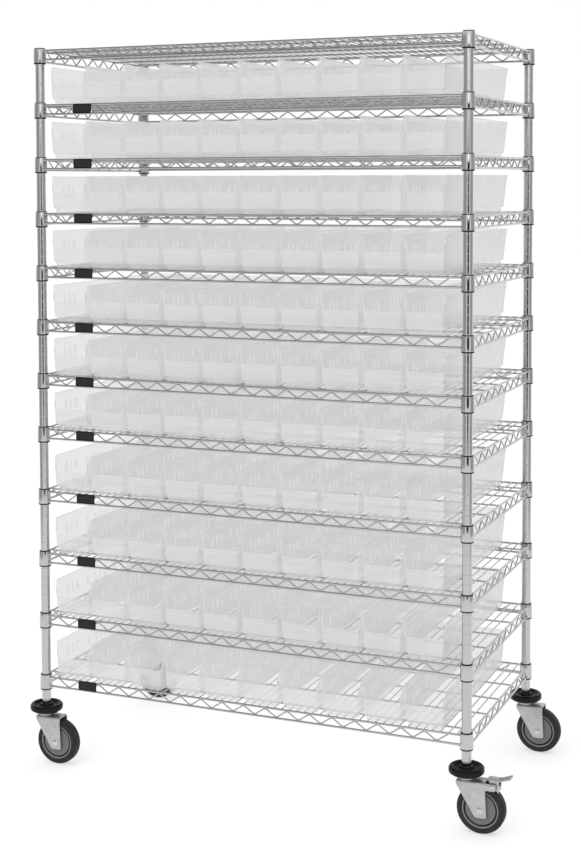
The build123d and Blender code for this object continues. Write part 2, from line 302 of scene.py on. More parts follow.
# Bead at the bonding edge of the core beside the tread: the same plastic, paler as a painted
# highlight along its rounded crest
CORE_BEAD_HIGHLIGHT = Finish(
    "core_bead_painted_highlight", "hub_plastic", "7E7E80", "727274",
    roughness=0.44, roughness_spread=0.05, mottle_mm=10.0, grain_mm=1.4, grain_height_mm=0.04)
# Dark grey moulded thermoplastic rubber of the tread: matt, with dusty patches from the floor. The
# pores are about 0.2 mm wide and are drawn coarser to show
# The same finish darkens the wheel core's groove, as painted shade
TREAD_AND_GROOVE_SHADE = Finish(
    "tread_rubber_and_groove_shade", "tyre_rubber", "2C2C2E", "202022",
    roughness=0.6, roughness_spread=0.08, mottle_mm=18.0, grain_mm=1.8, grain_height_mm=0.08,
    specular=0.25)

# Finishes of the pieces that have more than one, in the order of their material numbers
BIN_FINISHES = (CLEAR_BIN, SHADED_FOOT, HIGHLIT_RIB)
PLATE_FINISHES = (BLACK_NYLON, PLATE_FIELD)
CORE_FINISHES = (WHEEL_CORE, CORE_BEAD_HIGHLIGHT, TREAD_AND_GROOVE_SHADE)


def rounded(corners: Sequence[Triple], steps: int = 4) -> list[Pair]:
    """Round the corners of a closed outline.

    Args:
        corners: points with the radius wanted at each.
        steps: straight pieces along each arc.

    Returns:
        Points of the outline, in the same order.
    """
    outline: list[Pair] = []
    count = len(corners)
    for index, (x, y, radius) in enumerate(corners):
        here = Vector((x, y))
        before = Vector(corners[index - 1][:2]) - here
        after = Vector(corners[(index + 1) % count][:2]) - here
        turn = before.angle(after)
        if radius <= 0 or turn > math.pi - LEAST_TURN:
            outline.append((x, y))
            continue
        reach = min(radius / math.tan(turn / 2), EDGE_SHARE * before.length,
                    EDGE_SHARE * after.length)
        true_radius = reach * math.tan(turn / 2)
        bisector = (before.normalized() + after.normalized()).normalized()
        centre = here + bisector * (true_radius / math.sin(turn / 2))
        start = here + before.normalized() * reach - centre
        sweep = start.angle_signed(here + after.normalized() * reach - centre)
        for step in range(steps + 1):
            angle = -sweep * step / steps
            spot = centre + Matrix.Rotation(angle, 2) @ start
            outline.append((spot.x, spot.y))
    return outline


def section(
    half: float, low: float, high: float, foot: float, head: float, steps: int
) -> list[Pair]:
    """Outline of a rectangle with rounded corners, the same to the left and right of its middle.

    Args:
        half: half of its width.
        low: height of its lower edge.
        high: height of its upper edge.
        foot: radius of the lower corners.
        head: radius of the upper corners.
        steps: straight pieces along each arc.

    Returns:
        Points of the outline.
    """
    lower = [(-half, low, foot), (half, low, foot)]
    return rounded([*lower, (half, high, head), (-half, high, head)], steps)


def both_faces(profile: Sequence[Triple]) -> list[Triple]:
    """Profile of radius, height and corner radius, closed by its mirror image below z = 0."""
    return [*profile, *((r, -z, corner) for r, z, corner in reversed(profile))]


def turned(outline: Sequence[Pair], angle: float) -> list[Vector]:
    """Ring of points from an outline of radius and height, turned about Z by an angle."""
    turn = Matrix.Rotation(angle, 3, "Z")
    return [turn @ Vector((r, 0, z)) for r, z in outline]


class Shape:
    """Points and faces of one piece while it is built, in millimetres."""

    def __init__(self) -> None:
        """Start with nothing."""
        self.points: list[Vector] = []
        self.faces: list[tuple[int, ...]] = []
        self.marks: list[int] = []

    def merge(self, other: "Shape", place: Matrix) -> None:
        """Add a copy of another shape.

        Args:
            other: shape to copy.
            place: where the copy goes.
        """
        first = len(self.points)
        self.points.extend(place @ p for p in other.points)
        self.faces.extend(tuple(first + i for i in face) for face in other.faces)
        self.marks.extend(other.marks)

    def loft(
        self, rings: Sequence[Sequence[Vector]], joined: bool = False, mark: int = 0
    ) -> "Shape":
        """Skin a row of rings that have as many points each.

        Args:
            rings: closed rings of points.
            joined: whether the last ring meets the first, instead of both being capped.
            mark: material number of the faces.

        Returns:
            This shape.
        """
        size, rows, first = len(rings[0]), len(rings), len(self.points)
        faces: list[Sequence[int]] = []
        for row in range(rows if joined else rows - 1):
            low, high = row * size, (row + 1) % rows * size
            for i in range(size):
                j = (i + 1) % size
                faces.append((low + i, low + j, high + j, high + i))
        if not joined:
            faces.append(tuple(reversed(range(size))))
            faces.append(tuple(range((rows - 1) * size, rows * size)))
        self.points.extend(p for ring in rings for p in ring)
        self.faces.extend(tuple(first + i for i in face) for face in faces)
        self.marks.extend([mark] * len(faces))
        return self

    def lathe(self, outline: Sequence[Pair], segments: int, mark: int = 0) -> "Shape":
        """Turn a closed outline of radius and height about Z.

        Args:
            outline: points, none on the axis.
            segments: flats around the turn.
            mark: material number of the faces.

        Returns:
            This shape.
        """
        rings = [turned(outline, math.tau * step / segments) for step in range(segments)]
        return self.loft(rings, joined=True, mark=mark)

    def wire(self, path: Sequence[Vector], radius: float, sides: int) -> "Shape":
        """Round wire along a path, with flat cut ends.

        Args:
            path: points of its centre line.
            radius: radius of the wire.
            sides: flats around the wire.

        Returns:
            This shape.
        """
        rings = []
        across = None
        for index, point in enumerate(path):
            ahead = path[min(index + 1, len(path) - 1)] - path[max(index - 1, 0)]
            ahead.normalize()
            if across is None:
                across = ahead.orthogonal().normalized()
            across = (across - ahead * across.dot(ahead)).normalized()
            other = ahead.cross(across)
            ring = []
            for step in range(sides):
                angle = math.tau * (step + 0.5) / sides
                ring.append(point + (across * math.cos(angle) + other * math.sin(angle)) * radius)
            rings.append(ring)
        return self.loft(rings)

    def slab(self, outline: Sequence[Pair], low: float, high: float) -> "Shape":
        """Plate of an outline of (x, z) points between two places along Y."""
        return self.loft([[Vector((x, y, z)) for x, z in outline] for y in (low, high)])

    def bar(self, outline: Sequence[Pair], low: float, high: float) -> "Shape":
        """Bar of an outline of (y, z) points between two places along X."""
        return self.loft([[Vector((x, y, z)) for y, z in outline] for x in (low, high)])

    def mesh(self, name: str, crease: float = CREASE) -> bpy.types.Mesh:
        """Turn the shape into a mesh in metres.

        Args:
            name: name of the mesh.
            crease: angle in degrees from which an edge stays sharp.

        Returns:
            The mesh, with its faces turned outward.
        """
        made = bpy.data.meshes.new(name)
        made.from_pydata([tuple(p * MM) for p in self.points], [], self.faces)
        made.polygons.foreach_set("material_index", self.marks)
        work = bmesh.new()
        work.from_mesh(made)
        bmesh.ops.remove_doubles(work, verts=work.verts, dist=WELD)
        bmesh.ops.dissolve_degenerate(work, edges=work.edges, dist=WELD)
        bmesh.ops.recalc_face_normals(work, faces=work.faces)
        work.to_mesh(made)
        work.free()
        made.shade_smooth()
        made.set_sharp_from_angle(angle=math.radians(crease))
        return made


def carved(
    name: str, start: Shape, cuts: Sequence[tuple[str, Shape]], edge: float
) -> bpy.types.Mesh:
    """Carve a shape with others and ease its edges.

    Args:
        name: name of the mesh.
        start: shape to carve.
        cuts: boolean operations with the shape that each uses.
        edge: width of the eased edges in millimetres.

    Returns:
        The carved mesh.
    """
    scene = bpy.context.scene.collection.objects
    helpers = [bpy.data.objects.new(name, start.mesh(name))]
    for operation, cutter in cuts:
        helper = bpy.data.objects.new(f"{name}_cutter", cutter.mesh(f"{name}_cutter"))
        helpers.append(helper)
        step = helpers[0].modifiers.new(operation, "BOOLEAN")
        step.operation = operation
        step.solver = "EXACT"
        step.object = helper
    ease = helpers[0].modifiers.new("eased_edges", "BEVEL")
    ease.width = edge * MM
    ease.segments = EASE_FLATS
    ease.limit_method = "ANGLE"
    ease.angle_limit = math.radians(EASE_ANGLE)
    for helper in helpers:
        scene.link(helper)
    depsgraph = bpy.context.evaluated_depsgraph_get()
    made = bpy.data.meshes.new_from_object(helpers[0].evaluated_get(depsgraph))
    made.name = name
    for helper in helpers:
        bpy.data.objects.remove(helper)
    made.shade_smooth()
    made.set_sharp_from_angle(angle=math.radians(CREASE))
    return made


@dataclass
class Bench:
    """Puts finished meshes in the scene, on the bodies that carry them."""

    made: list[str] = field(default_factory=list)

    @staticmethod
    def body_of(node: str) -> str:
        """Name of the body that holds a node."""
        bodies = frame["record"]["behaviour"]["bodies"]
        return next(body for body, nodes in bodies.items() if node in nodes)

    def install(
        self, name: str, mesh: bpy.types.Mesh, node: str, finishes: Sequence[Finish],
        place: Matrix | None = None,
    ) -> bpy.types.Object:
        """Put a mesh in the place of a node.

        Args:
            name: name of the piece.
            mesh: its mesh, which other pieces may share.
            node: node that it stands for.
            finishes: its finishes, in the order of the mesh's material numbers.
            place: where it goes.

        Returns:
            The piece.
        """
        if not mesh.materials:
            for finish in finishes:
                mesh.materials.append(finish.material())
        piece = bpy.data.objects.new(name, mesh)
        bpy.context.scene.collection.objects.link(piece)
        if place:
            piece.matrix_world = place
        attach(piece, self.body_of(node))
        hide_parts(node)
        self.made.append(name)
        LOG.info("%s stands for %s: %d faces", name, node, len(mesh.polygons))
        return piece


@dataclass
class Layout:
    """Places that the solids give, in millimetres."""

    collar_rise: float = 3.5

    def corner(self, corner: Corner) -> Vector:
        """Find the axis of a post.

        Args:
            corner: corner at which the post stands.

        Returns:
            Where the axis meets the floor.
        """
        low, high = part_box(f"post_{corner.value}")
        middle = (low + high) / 2 / MM
        return Vector((middle.x, middle.y, 0))

    @property
    def half(self) -> Vector:
        """Half of the distances between the post axes."""
        return self.corner(Corner.REAR_RIGHT)

    @property
    def shelves(self) -> list[float]:
        """Heights of the sleeves' lower ends, from the lowest shelf to the top one."""
        names = sorted(n for n in frame["nodes"] if n.startswith("shelf_"))
        return [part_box(name)[0].z / MM - self.collar_rise for name in names]

    @staticmethod
    def at(spot: Vector) -> Matrix:
        """Placement of a piece at a spot given in millimetres."""
        return Matrix.Translation(spot * MM)


@dataclass
class GroovedPosts:
    """Four chromed tubes with a shallow ring groove every inch, and their domed caps."""

    layout: Layout
    radius: float = 12.7
    wall: float = 1.6
    groove_pitch: float = 25.4
    groove_depth: float = 0.14
    groove_width: float = 1.8
    groove_above_sleeve: float = 21.0
    # Points across a groove: share of its width from its middle, and share of its depth
    groove_form: tuple[Pair, ...] = ((-0.7, 0), (-0.5, 0), (-0.2, 1), (0.2, 1), (0.5, 0), (0.7, 0))
    segments: int = 40
    cap_rim: float = 3.0
    cap_dome: float = 5.0
    cap_plug: float = 18.0
    cap_clearance: float = 0.2
    # Points of the dome: share of the radius, drop from the top, and radius of the corner
    cap_form: tuple[Triple, ...] = ((0.8, 1.6, 6.0), (0.35, 0.15, 6.0))

    def tube(self, bottom: float, top: float) -> Shape:
        """Draw a tube, grooved in step with the shelves.

        Args:
            bottom: height of its lower end.
            top: height of its upper end.

        Returns:
            The tube about Z.
        """
        outline = [(self.radius - self.wall, bottom), (self.radius, bottom)]
        start = self.layout.shelves[0] + self.groove_above_sleeve
        first = math.ceil((bottom + self.groove_width - start) / self.groove_pitch)
        last = math.floor((top - self.groove_width - start) / self.groove_pitch)
        for number in range(first, last + 1):
            middle = start + number * self.groove_pitch
            for share, depth in self.groove_form:
                outline.append((self.radius - depth * self.groove_depth,
                                middle + share * self.groove_width))
        outline += [(self.radius, top), (self.radius - self.wall, top)]
        return Shape().lathe(outline, self.segments)

    def cap(self) -> Shape:
        """Draw a cap with a rolled rim and a low dome.

        Returns:
            The cap about Z, whose rim rests at z = 0.
        """
        plug = self.radius - self.wall - self.cap_clearance
        top = self.cap_rim + self.cap_dome
        dome = [(self.radius * share, top - drop, corner) for share, drop, corner in self.cap_form]
        outline = rounded([
            (AXIS, -self.cap_plug, 0), (plug, -self.cap_plug, 1.0), (plug, 0, 0),
            (self.radius, 0, 0.5), (self.radius, self.cap_rim, 1.2), *dome, (AXIS, top, 0),
        ])
        return Shape().lathe(outline, self.segments)

    def build(self, bench: Bench) -> None:
        """Make the posts and their caps.

        Args:
            bench: bench that installs them.
        """
        low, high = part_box("post_front_left")
        mesh = self.tube(low.z / MM, high.z / MM).mesh("grooved_post")
        cap, caps = self.cap(), Shape()
        for corner in Corner:
            spot = self.layout.corner(corner)
            bench.install(f"grooved_post_{corner.value}", mesh, f"post_{corner.value}", [CHROME],
                          self.layout.at(spot))
            caps.merge(cap, Matrix.Translation(spot + Vector((0, 0, high.z / MM))))
        bench.install("domed_post_caps", caps.mesh("domed_post_caps"), "post_caps", [CHROME])


@dataclass
class WireShelf:
    """Welded shelf: deck wires on long wires, four trusses and four collars."""

    layout: Layout
    rail_radius: float = 3.0
    rail_offset: float = 6.0
    rail_sides: int = 12
    deck_height: float = 40.0
    front_lower_rail: float = 12.0
    side_lower_rail: float = 8.5
    deck_radius: float = 1.75
    deck_pitch: float = 22.2
    deck_sides: int = 10
    long_radius: float = 2.5
    long_pitch: float = 127.0
    long_count: int = 5
    truss_radius: float = 2.0
    truss_pitch: float = 64.0
    truss_margin: float = 56.0
    truss_sides: int = 8
    # How far the truss wire's bends stand in from the rails' middles, as a share of their radius
    truss_inset: float = 0.6
    # Length of a bend's legs, the share of it where the bend is tightest, and how far that pulls in
    truss_bend: float = 5.0
    truss_tight: float = 0.45
    truss_pull: float = 0.25
    collar_inner: float = 15.2
    collar_outer: float = 17.0
    collar_height: float = 39.5
    collar_taper: float = 0.5
    collar_segments: int = 36

    def deck(self, shape: Shape) -> None:
        """Add the wires from front to back and the long wires under them.

        Args:
            shape: shape that gets the wires.
        """
        half = self.layout.half
        middle = self.deck_height - self.deck_radius
        reach = half.y + self.rail_offset
        count = int((half.x - self.collar_outer - self.deck_radius) / self.deck_pitch)
        for index in range(-count, count + 1):
            x = index * self.deck_pitch
            shape.wire([Vector((x, -reach, middle)), Vector((x, reach, middle))],
                       self.deck_radius, self.deck_sides)
        low = middle - self.deck_radius - self.long_radius
        reach = half.x + self.rail_offset
        for index in range(self.long_count):
            y = (index - (self.long_count - 1) / 2) * self.long_pitch
            shape.wire([Vector((-reach, y, low)), Vector((reach, y, low))],
                       self.long_radius, self.deck_sides)

    def zigzag(self, span: float, low: float, high: float) -> list[Vector]:
        """Centre line of a truss wire with rounded bends.

        Args:
            span: distance between the post axes.
            low: height of the lower bends.
            high: height of the upper bends.

        Returns:
            Points along X.
        """
        count = int((span - 2 * self.truss_margin) / self.truss_pitch) + 1
        half = self.truss_pitch / 2
        line = [Vector((-count * half + i * half, 0, low if i % 2 else high))
                for i in range(2 * count + 1)]
        tight = self.truss_tight
        path = [line[0]]
        for before, here, after in zip(line, line[1:], line[2:]):
            back, ahead = (before - here).normalized(), (after - here).normalized()
            inward = (back + ahead).z * self.truss_bend
            for way, share in ((back, 1.0), (back, tight), (ahead, tight), (ahead, 1.0)):
                pull = Vector((0, 0, inward * (1 - share) * self.truss_pull))
                path.append(here + way * self.truss_bend * share + pull)
        return path + [line[-1]]

    def truss(self, span: float, lower_rail: float) -> Shape:
        """Draw two rails and the zigzag between them.

        Args:
            span: distance between the post axes.
            lower_rail: height of the lower rail's middle.

        Returns:
            The truss along X.
        """
        shape = Shape()
        upper_rail = self.deck_height - self.rail_radius
        half = span / 2 - self.collar_inner
        for height in (lower_rail, upper_rail):
            shape.wire([Vector((-half, 0, height)), Vector((half, 0, height))],
                       self.rail_radius, self.rail_sides)
        inset = self.rail_radius * self.truss_inset
        path = self.zigzag(span, lower_rail + inset, upper_rail - inset)
        return shape.wire(path, self.truss_radius, self.truss_sides)

    def collar(self) -> Shape:
        """Draw a pressed collar, a little wider at its foot and rolled in at its shoulders.

        Returns:
            The collar about Z, with its foot at z = 0.
        """
        outer, top = self.collar_outer, self.collar_height
        return Shape().lathe(rounded([
            (self.collar_inner, 0, 0.3), (outer + self.collar_taper, 0, 0.8),
            (outer - self.collar_taper / 2, top, 1.6), (self.collar_inner, top, 0.3),
        ]), self.collar_segments)

    def shelf(self) -> Shape:
        """Draw the whole shelf.

        Returns:
            The shelf, with the sleeves' lower ends at z = 0.
        """
        half = self.layout.half
        shape = Shape()
        self.deck(shape)
        for side in Side:
            along_x = side in (Side.FRONT, Side.REAR)
            span = 2 * (half.x if along_x else half.y)
            out = (half.y if along_x else half.x) + self.rail_offset
            truss = self.truss(span, self.front_lower_rail if along_x else self.side_lower_rail)
            turn = Matrix.Rotation(math.radians(side.value), 4, "Z")
            shape.merge(truss, turn @ Matrix.Translation((0, -out, 0)))
        for corner in Corner:
            spot = self.layout.corner(corner) + Vector((0, 0, self.layout.collar_rise))
            shape.merge(self.collar(), Matrix.Translation(spot))
        return shape

    def build(self, bench: Bench) -> None:
        """Make every shelf from one mesh.

        Args:
            bench: bench that installs them.
        """
        mesh = self.shelf().mesh("wire_shelf", crease=ROUND_CREASE)
        for number, height in enumerate(self.layout.shelves, start=1):
            piece = bench.install(f"wire_shelf_{number:02d}", mesh, f"shelf_{number:02d}", [CHROME],
                                  self.layout.at(Vector((0, 0, height))))
            # Bright wires pass on the studio light that they catch, so they don't dim the bins
            piece.visible_diffuse = False


@dataclass
class SplitSleeves:
    """Black sleeves in two halves, wedged between the posts and the shelf collars."""

    layout: Layout
    inner: float = 12.75
    outer: float = 15.0
    height: float = 45.0
    foot_flare: float = 1.7
    foot_height: float = 3.3
    slit: float = 0.35
    arc_steps: int = 14

    def half(self) -> Shape:
        """Draw one half of a sleeve.

        Returns:
            The half on the +X side of the split, with its lower end at z = 0.
        """
        foot = self.outer + self.foot_flare
        outline = rounded([
            (self.inner, 0, 0.3), (foot, 0, 0.4), (foot, self.foot_height, 0.3),
            (self.outer, self.foot_height, 0), (self.outer, self.height, 0.6),
            (self.inner, self.height, 0.3),
        ], steps=2)
        edge = math.asin(self.slit / self.inner)
        rings = []
        for step in range(self.arc_steps + 1):
            angle = -math.pi / 2 + edge + (math.pi - 2 * edge) * step / self.arc_steps
            rings.append(turned(outline, angle))
        return Shape().loft(rings)

    def build(self, bench: Bench) -> None:
        """Make all the sleeves as one piece.

        Args:
            bench: bench that installs it.
        """
        half = self.half()
        other = Matrix.Rotation(math.pi, 4, "Z")
        shape = Shape()
        for height in self.layout.shelves:
            for corner in Corner:
                place = Matrix.Translation(self.layout.corner(corner) + Vector((0, 0, height)))
                shape.merge(half, place)
                shape.merge(half, place @ other)
        bench.install("split_sleeve_set", shape.mesh("split_sleeve_set"), "split_sleeves",
                      [BLACK_NYLON])


@dataclass
class NamePlates:
    """Bare black plates with a raised border, clipped on the front trusses."""

    layout: Layout
    width: float = 57.0
    height: float = 26.0
    thickness: float = 2.0
    corner: float = 4.0
    least_corner: float = 0.8
    edge_height: float = 1.3
    edge_bevel: float = 0.5
    border: float = 2.2
    border_slope: float = 0.6
    recess: float = 0.7

    def plate(self) -> Shape:
        """Draw one plate, whose field has the second finish.

        Returns:
            The plate, centred, with its back at y = 0 and its face towards -Y.
        """
        rings = []
        steps = ((0.0, 0.0), (0.0, self.edge_height), (self.edge_bevel, self.thickness),
                 (self.border, self.thickness),
                 (self.border + self.border_slope, self.thickness - self.recess))
        for inset, proud in steps:
            half = self.height / 2 - inset
            corner = max(self.corner - inset, self.least_corner)
            ring = section(self.width / 2 - inset, -half, half, corner, corner, steps=4)
            rings.append([Vector((x, -proud, z)) for x, z in ring])
        shape = Shape().loft(rings)
        shape.marks[-1] = PLATE_FINISHES.index(PLATE_FIELD)
        return shape

    def build(self, bench: Bench) -> None:
        """Make the plates of all the shelves that have one.

        Args:
            bench: bench that installs them.
        """
        low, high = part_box("name_plates")
        middle_x = (low.x + high.x) / 2 / MM
        first = low.z / MM + self.height / 2
        shelves = self.layout.shelves
        plate, shape = self.plate(), Shape()
        for height in shelves[:-1]:
            spot = (middle_x, high.y / MM, first + height - shelves[0])
            shape.merge(plate, Matrix.Translation(spot))
        bench.install("bare_name_plates", shape.mesh("bare_name_plates"), "name_plates",
                      PLATE_FINISHES)


@dataclass
class HopperBin:
    """Clear bin with a low front lip, a stepped base, a rim band and divider ribs."""

    layout: Layout
    length: float = 600.0
    height: float = 101.6
    top_width: float = 110.0
    side_draft: float = 4.5
    wall: float = 1.8
    lip_height: float = 34.0
    lip_lean: float = 4.0
    slope_run: float = 10.0
    rear_lean: float = 25.0
    step_height: float = 13.0
    step_ramp: float = 2.0
    step_inset: float = 4.5
    step_setback: float = 3.0
    base_round: float = 1.2
    base_rise: float = 2.0
    band_height: float = 14.0
    band_ramp: float = 1.0
    band_proud: float = 0.9
    corner: float = 6.0
    least_corner: float = 1.0
    corner_steps: int = 4
    # Points along a side wall: shares of the slope's run, shares of the length, and the least
    # distance of the first from the corner
    slope_stops: tuple[float, ...] = (0.25, 0.5, 1.0)
    side_stops: tuple[float, ...] = (1 / 3, 2 / 3)
    stop_gap: float = 0.2
    bead: float = 1.5
    bead_sides: int = 6
    rib_width: float = 11.0
    rib_height: float = 26.0
    rib_bottom: float = 48.0
    rib_proud: float = 1.4
    rib_root: float = 0.3
    # Width of a rib's tip as a share of its foot's, and its ends: share of height, share of proud
    rib_taper: float = 0.8
    rib_form: tuple[Pair, ...] = ((0.0, 0.1), (0.06, 1.0), (0.94, 1.0), (1.0, 0.1))
    rib_first: float = 62.0
    rib_group_pitch: float = 159.0
    rib_offsets: tuple[float, ...] = (0.0, 27.0, 54.0, 115.0)
    bins_in_row: int = 10

    def half_width(self, z: float) -> float:
        """Half of the outer width at a height, before steps and bands."""
        return self.top_width / 2 - self.side_draft * (1 - z / self.height)

    def rim(self, y: float) -> float:
        """Height of the rim at a distance behind the lip's top edge."""
        rise = (self.height - self.lip_height) / self.slope_run
        return min(self.height, self.lip_height + max(0.0, y) * rise)

    def spread(self, z: float) -> float:
        """Find how far the wall stands out from its draft line.

        Args:
            z: height above the base.

        Returns:
            The distance, negative where the wall is set in.
        """
        if z <= 0:
            return -self.step_inset - self.base_round
        if z <= self.step_height:
            return -self.step_inset
        if z >= self.height - self.band_height:
            return self.band_proud
        return 0.0

    def plan(self, z: float, inset: float) -> list[Pair]:
        """Rounded plan of the wall at a height.

        Args:
            z: height above the base.
            inset: distance inside the outer face.

        Returns:
            Points from the front left corner round by the right.
        """
        out = self.spread(z) - inset
        x = self.half_width(z) + out
        front = self.lip_lean * (1 - z / self.lip_height) - out
        if z <= self.step_height:
            front += self.step_setback - self.step_inset
        rear = self.length - self.rear_lean * (1 - z / self.height) + out
        r = max(self.corner - inset, self.least_corner)
        side = [self.slope_run * share for share in self.slope_stops]
        side += [self.length * share for share in self.side_stops]
        side = [max(y, front + r + self.stop_gap) for y in side]
        right, left = [(x, y) for y in side], [(-x, y) for y in reversed(side)]
        corners = ((r - x, front + r, 180, []), (x - r, front + r, 270, right),
                   (x - r, rear - r, 0, []), (r - x, rear - r, 90, left))
        ring = []
        for middle_x, middle_y, start, wall in corners:
            for step in range(self.corner_steps + 1):
                angle = math.radians(start + 90 * step / self.corner_steps)
                ring.append((middle_x + r * math.cos(angle), middle_y + r * math.sin(angle)))
            ring += wall
        return ring

    @property
    def levels(self) -> list[float]:
        """Heights at which the wall changes its line."""
        step, band = self.step_height, self.height - self.band_height
        return [0.0, self.base_rise, step, step + self.step_ramp, self.lip_height,
                band - self.band_ramp, band, self.height]

    def skin(self, inset: float, floor: float) -> list[list[Vector]]:
        """Rings of the outer or inner wall, cut off at the rim.

        Args:
            inset: distance inside the outer face.
            floor: height of the lowest ring.

        Returns:
            Rings from the floor up to the rim.
        """
        rings = []
        for level in self.levels:
            ring = []
            z = max(level, floor)
            for index, (x, y) in enumerate(self.plan(z, inset)):
                top = self.rim(y + inset)
                if z > top:
                    x, y = self.plan(top, inset)[index]
                    top = self.rim(y + inset)
                ring.append(Vector((x, y, min(z, top))))
            rings.append(ring)
        return rings

    def ribs(self, shape: Shape) -> None:
        """Add the upright ribs that hold dividers, on the inside of both walls.

        Args:
            shape: shape of the bin, which gets the ribs.
        """
        groups = int(self.length / self.rib_group_pitch) + 1
        places = [self.rib_first + group * self.rib_group_pitch + offset
                  for group in range(groups) for offset in self.rib_offsets]
        last = self.length - 2 * self.rear_lean
        foot = self.rib_width / 2
        tip = foot * self.rib_taper
        for y in (place for place in places if place < last):
            for sign in (-1, 1):
                rings = []
                for share, proud in self.rib_form:
                    z = self.rib_bottom + share * self.rib_height
                    root = self.half_width(z) - self.wall + self.rib_root
                    crest = root - self.rib_root - self.rib_proud * proud
                    rings.append([
                        Vector((sign * root, y - foot, z)), Vector((sign * crest, y - tip, z)),
                        Vector((sign * crest, y + tip, z)), Vector((sign * root, y + foot, z)),
                    ])
                # The ribs take the paler finish, a painted highlight
                shape.loft(rings, mark=BIN_FINISHES.index(HIGHLIT_RIB))

    def bin(self) -> Shape:
        """Draw one bin, with a bead along its lip, slopes and upper rim.

        Returns:
            The bin, with its base at z = 0 and the lip's top edge at y = 0.
        """
        outer = self.skin(0.0, 0.0)
        inner = self.skin(self.wall, self.wall)
        shape = Shape().loft(outer + list(reversed(inner)))
        # Faces of the stepped foot take the greyer finish, painted shade under the lip's ledge
        for number, face in enumerate(shape.faces):
            if max(shape.points[i].z for i in face) <= self.step_height:
                shape.marks[number] = BIN_FINISHES.index(SHADED_FOOT)
        self.ribs(shape)
        rim = [(a + b) / 2 for a, b in zip(outer[-1], inner[-1])]
        return shape.wire(rim + rim[:1], self.bead, self.bead_sides)

    @staticmethod
    def let_light_through(piece: bpy.types.Object) -> None:
        """Let studio light pass the thin milky walls instead of shading what is behind them."""
        piece.visible_shadow = False
        piece.visible_diffuse = False

    def build(self, bench: Bench) -> None:
        """Make the ten bins of the lowest shelf and the rows above it.

        Args:
            bench: bench that installs them.
        """
        one, row = self.bin(), Shape()
        mesh = one.mesh("hopper_bin", crease=BIN_CREASE)
        for number in range(1, self.bins_in_row + 1):
            node = f"bin_{number:02d}"
            low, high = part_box(node)
            spot = Vector(((low.x + high.x) / 2, low.y, low.z)) / MM
            row.merge(one, Matrix.Translation((spot.x, spot.y, 0)))
            self.let_light_through(bench.install(
                f"hopper_{node}", mesh, node, BIN_FINISHES, self.layout.at(spot)))
        row_mesh = row.mesh("hopper_bin_row", crease=BIN_CREASE)
        for node in sorted(n for n in frame["nodes"] if n.startswith("bin_row_")):
            place = Matrix.Translation((0, 0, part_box(node)[0].z))
            self.let_light_through(bench.install(
                f"hopper_{node}", row_mesh, node, BIN_FINISHES, place))


